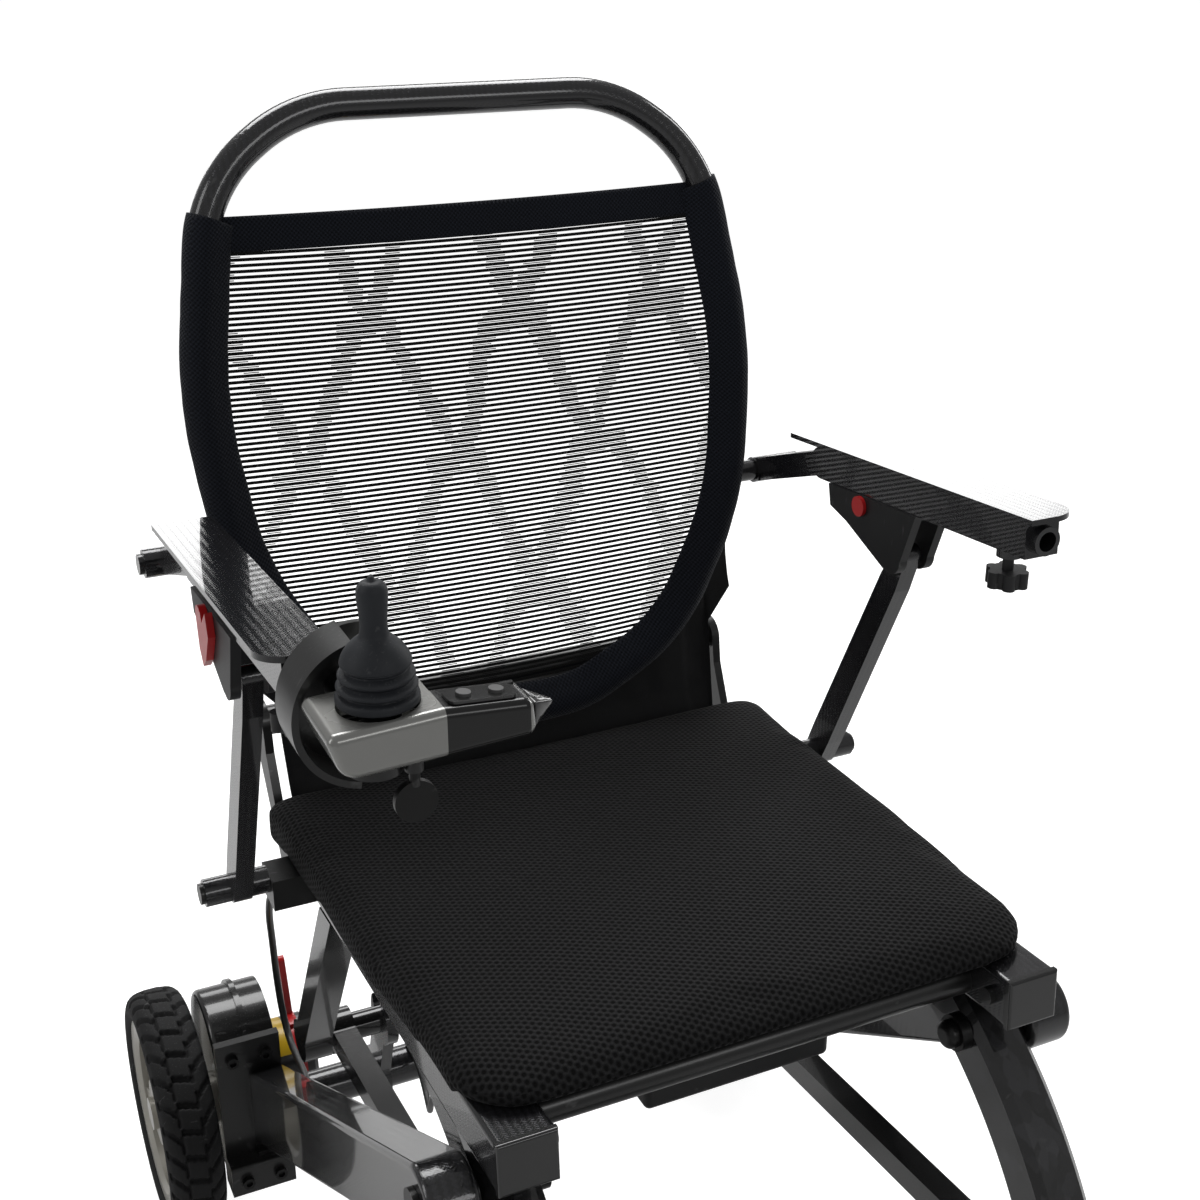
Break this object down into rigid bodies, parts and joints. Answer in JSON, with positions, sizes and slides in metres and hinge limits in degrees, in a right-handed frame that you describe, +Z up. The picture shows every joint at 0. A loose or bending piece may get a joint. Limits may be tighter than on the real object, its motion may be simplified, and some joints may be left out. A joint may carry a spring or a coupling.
{
  "type": "power wheelchair",
  "caption": "Folding power wheelchair with a carbon frame, mesh back, flip armrests, a joystick controller and motor wheels.",
  "frame": {"origin": "on the floor at the middle of the chair's bounding box", "axes": "-Y is the driving direction, +X is the occupant's left and +Z is up"},
  "size_m": [0.64, 1.057, 1.0266],
  "materials": {
    "carbon": "clear-coated carbon fibre",
    "black_alloy": "gloss black coating",
    "black_steel": "black zinc",
    "black_plastic": "moulded",
    "motor_black": "satin black",
    "tyre": "moulded solid tyre",
    "rim": "satin",
    "red_plastic": "moulded",
    "seat_fabric": "air mesh",
    "back_mesh": "open stripe mesh",
    "border_fabric": "woven",
    "nylon": "plain nylon",
    "silver_plastic": "silver paint",
    "display": "gloss",
    "button": "moulded",
    "black_rubber": "matte",
    "cable": "smooth"
  },
  "bodies": {
    "rear_frame": {"main_beam_left": "carbon", "main_beam_right": "carbon", "rear_crossbar": "black_alloy", "motor_brackets": "black_alloy", "gearboxes": "black_alloy", "drive_motors": "motor_black", "bracket_screws": "black_steel", "motor_lead": "cable"},
    "seat_frame": {"seat_tube_left": "carbon", "seat_tube_right": "carbon", "tube_caps": "black_plastic", "front_leg_left": "carbon", "front_leg_right": "carbon", "seat_cross_tubes": "black_alloy", "seat_struts": "black_alloy", "fold_bolts": "black_steel", "link_brackets": "black_alloy", "seat_cushion": "seat_fabric", "battery_case": "black_plastic", "battery_lead": "cable", "back_hinge": "black_alloy", "caster_heads": "black_alloy", "footplate_hangers": "black_alloy"},
    "footplate": {"footplate": "black_plastic"},
    "backrest": {"back_tube": "carbon", "back_sleeve": "border_fabric", "back_mesh": "back_mesh", "back_brackets": "black_alloy", "rear_flap": "nylon"},
    "joystick_gimbal": {"joystick_gimbal": "button"},
    "joystick_stick": {"joystick_stick": "black_rubber"},
    "power_button": {"power_button": "button"},
    "horn_button": {"horn_button": "button"},
    "thumb_screw": {"thumb_screw": "black_plastic"},
    "rear_wheel_left": {"rear_tyre_left": "tyre", "rear_rim_left": "rim"},
    "brake_lever_left": {"brake_lever_left": "red_plastic"},
    "caster_swivel_left": {"caster_fork_left": "black_alloy"},
    "caster_wheel_left": {"caster_tyre_left": "tyre", "caster_hub_left": "black_plastic"},
    "arm_left": {"armrest_left": "carbon", "arm_bracket_left": "black_alloy"},
    "release_left": {"release_lever_left": "red_plastic"},
    "clamp_knob_left": {"clamp_knob_left": "black_plastic"},
    "link_left": {"arm_link_left": "carbon"},
    "rear_wheel_right": {"rear_tyre_right": "tyre", "rear_rim_right": "rim"},
    "brake_lever_right": {"brake_lever_right": "red_plastic"},
    "caster_swivel_right": {"caster_fork_right": "black_alloy"},
    "caster_wheel_right": {"caster_tyre_right": "tyre", "caster_hub_right": "black_plastic"},
    "arm_right": {"armrest_right": "carbon", "arm_bracket_right": "black_alloy", "control_arm": "black_plastic", "control_housing": "silver_plastic", "display_panel": "display", "joystick_boot": "black_rubber"},
    "release_right": {"release_lever_right": "red_plastic"},
    "clamp_knob_right": {"clamp_knob_right": "black_plastic"},
    "link_right": {"arm_link_right": "carbon"}
  },
  "joints": [
    {"name": "frame_fold", "type": "hinge", "parent": "rear_frame", "child": "seat_frame", "pos_m": [0, -0.145, 0.437], "axis": [1, 0, 0], "range_deg": [0, 45]},
    {"name": "backrest_fold", "type": "hinge", "parent": "seat_frame", "child": "backrest", "pos_m": [0, 0.306, 0.546], "axis": [1, 0, 0], "range_deg": [0, 85]},
    {"name": "footplate_flip", "type": "hinge", "parent": "seat_frame", "child": "footplate", "pos_m": [0, -0.378, 0.116], "axis": [-1, 0, 0], "range_deg": [0, 90]},
    {"name": "rear_wheel_left_spin", "type": "hinge", "parent": "rear_frame", "child": "rear_wheel_left", "pos_m": [0.295, 0.41, 0.112], "axis": [1, 0, 0], "continuous": true},
    {"name": "brake_lever_left_turn", "type": "hinge", "parent": "rear_frame", "child": "brake_lever_left", "pos_m": [0.178, 0.41, 0.137], "axis": [-1, 0, 0], "range_deg": [0, 40]},
    {"name": "caster_left_swivel", "type": "hinge", "parent": "seat_frame", "child": "caster_swivel_left", "pos_m": [0.235, -0.24, 0.2], "axis": [0, 0, 1], "continuous": true},
    {"name": "caster_left_spin", "type": "hinge", "parent": "caster_swivel_left", "child": "caster_wheel_left", "pos_m": [0.235, -0.205, 0.075], "axis": [1, 0, 0], "continuous": true},
    {"name": "arm_left_pivot", "type": "hinge", "parent": "backrest", "child": "arm_left", "pos_m": [0.26, 0.299, 0.698], "axis": [1, 0, 0], "range_deg": [-72, 0]},
    {"name": "link_left_pivot", "type": "hinge", "parent": "seat_frame", "child": "link_left", "pos_m": [0.259, 0.192, 0.472], "axis": [1, 0, 0], "range_deg": [0, 60]},
    {"name": "release_left_press", "type": "hinge", "parent": "arm_left", "child": "release_left", "pos_m": [0.256, 0.131, 0.719], "axis": [1, 0, 0], "range_deg": [0, 20], "stiffness_Nm_per_rad": 0.05, "springref_deg": -11.46},
    {"name": "clamp_knob_left_turn", "type": "hinge", "parent": "arm_left", "child": "clamp_knob_left", "pos_m": [0.256, -0.03, 0.72], "axis": [0, 0, 1], "continuous": true},
    {"name": "rear_wheel_right_spin", "type": "hinge", "parent": "rear_frame", "child": "rear_wheel_right", "pos_m": [-0.295, 0.41, 0.112], "axis": [1, 0, 0], "continuous": true},
    {"name": "brake_lever_right_turn", "type": "hinge", "parent": "rear_frame", "child": "brake_lever_right", "pos_m": [-0.178, 0.41, 0.137], "axis": [-1, 0, 0], "range_deg": [0, 40]},
    {"name": "caster_right_swivel", "type": "hinge", "parent": "seat_frame", "child": "caster_swivel_right", "pos_m": [-0.235, -0.24, 0.2], "axis": [0, 0, 1], "continuous": true},
    {"name": "caster_right_spin", "type": "hinge", "parent": "caster_swivel_right", "child": "caster_wheel_right", "pos_m": [-0.235, -0.205, 0.075], "axis": [1, 0, 0], "continuous": true},
    {"name": "arm_right_pivot", "type": "hinge", "parent": "backrest", "child": "arm_right", "pos_m": [-0.26, 0.299, 0.698], "axis": [1, 0, 0], "range_deg": [-72, 0]},
    {"name": "link_right_pivot", "type": "hinge", "parent": "seat_frame", "child": "link_right", "pos_m": [-0.259, 0.192, 0.472], "axis": [1, 0, 0], "range_deg": [0, 60]},
    {"name": "release_right_press", "type": "hinge", "parent": "arm_right", "child": "release_right", "pos_m": [-0.256, 0.131, 0.719], "axis": [1, 0, 0], "range_deg": [0, 20], "stiffness_Nm_per_rad": 0.05, "springref_deg": -11.46},
    {"name": "clamp_knob_right_turn", "type": "hinge", "parent": "arm_right", "child": "clamp_knob_right", "pos_m": [-0.256, -0.03, 0.72], "axis": [0, 0, 1], "continuous": true},
    {"name": "joystick_fore_aft", "type": "hinge", "parent": "arm_right", "child": "joystick_gimbal", "pos_m": [-0.243, -0.152, 0.772], "axis": [1, 0, 0], "range_deg": [-18, 18], "stiffness_Nm_per_rad": 0.05},
    {"name": "joystick_side", "type": "hinge", "parent": "joystick_gimbal", "child": "joystick_stick", "pos_m": [-0.243, -0.152, 0.772], "axis": [0, 1, 0], "range_deg": [-18, 18], "stiffness_Nm_per_rad": 0.05},
    {"name": "power_button_press", "type": "slide", "parent": "arm_right", "child": "power_button", "axis": [-0.083, 0, -0.9965], "range_m": [0, 0.0015], "stiffness_N_per_m": 300, "springref_m": -0.001},
    {"name": "horn_button_press", "type": "slide", "parent": "arm_right", "child": "horn_button", "axis": [-0.083, 0, -0.9965], "range_m": [0, 0.0015], "stiffness_N_per_m": 300, "springref_m": -0.001},
    {"name": "thumb_screw_turn", "type": "hinge", "parent": "arm_right", "child": "thumb_screw", "pos_m": [-0.228, -0.16, 0.72], "axis": [0, 0, 1], "continuous": true}
  ],
  "couplings": [
    {"joint": "arm_left_pivot", "follows": "backrest_fold", "ratio": -0.83824},
    {"joint": "link_left_pivot", "follows": "backrest_fold", "ratio": 0.69506},
    {"joint": "arm_right_pivot", "follows": "backrest_fold", "ratio": -0.83824},
    {"joint": "link_right_pivot", "follows": "backrest_fold", "ratio": 0.69506}
  ]
}
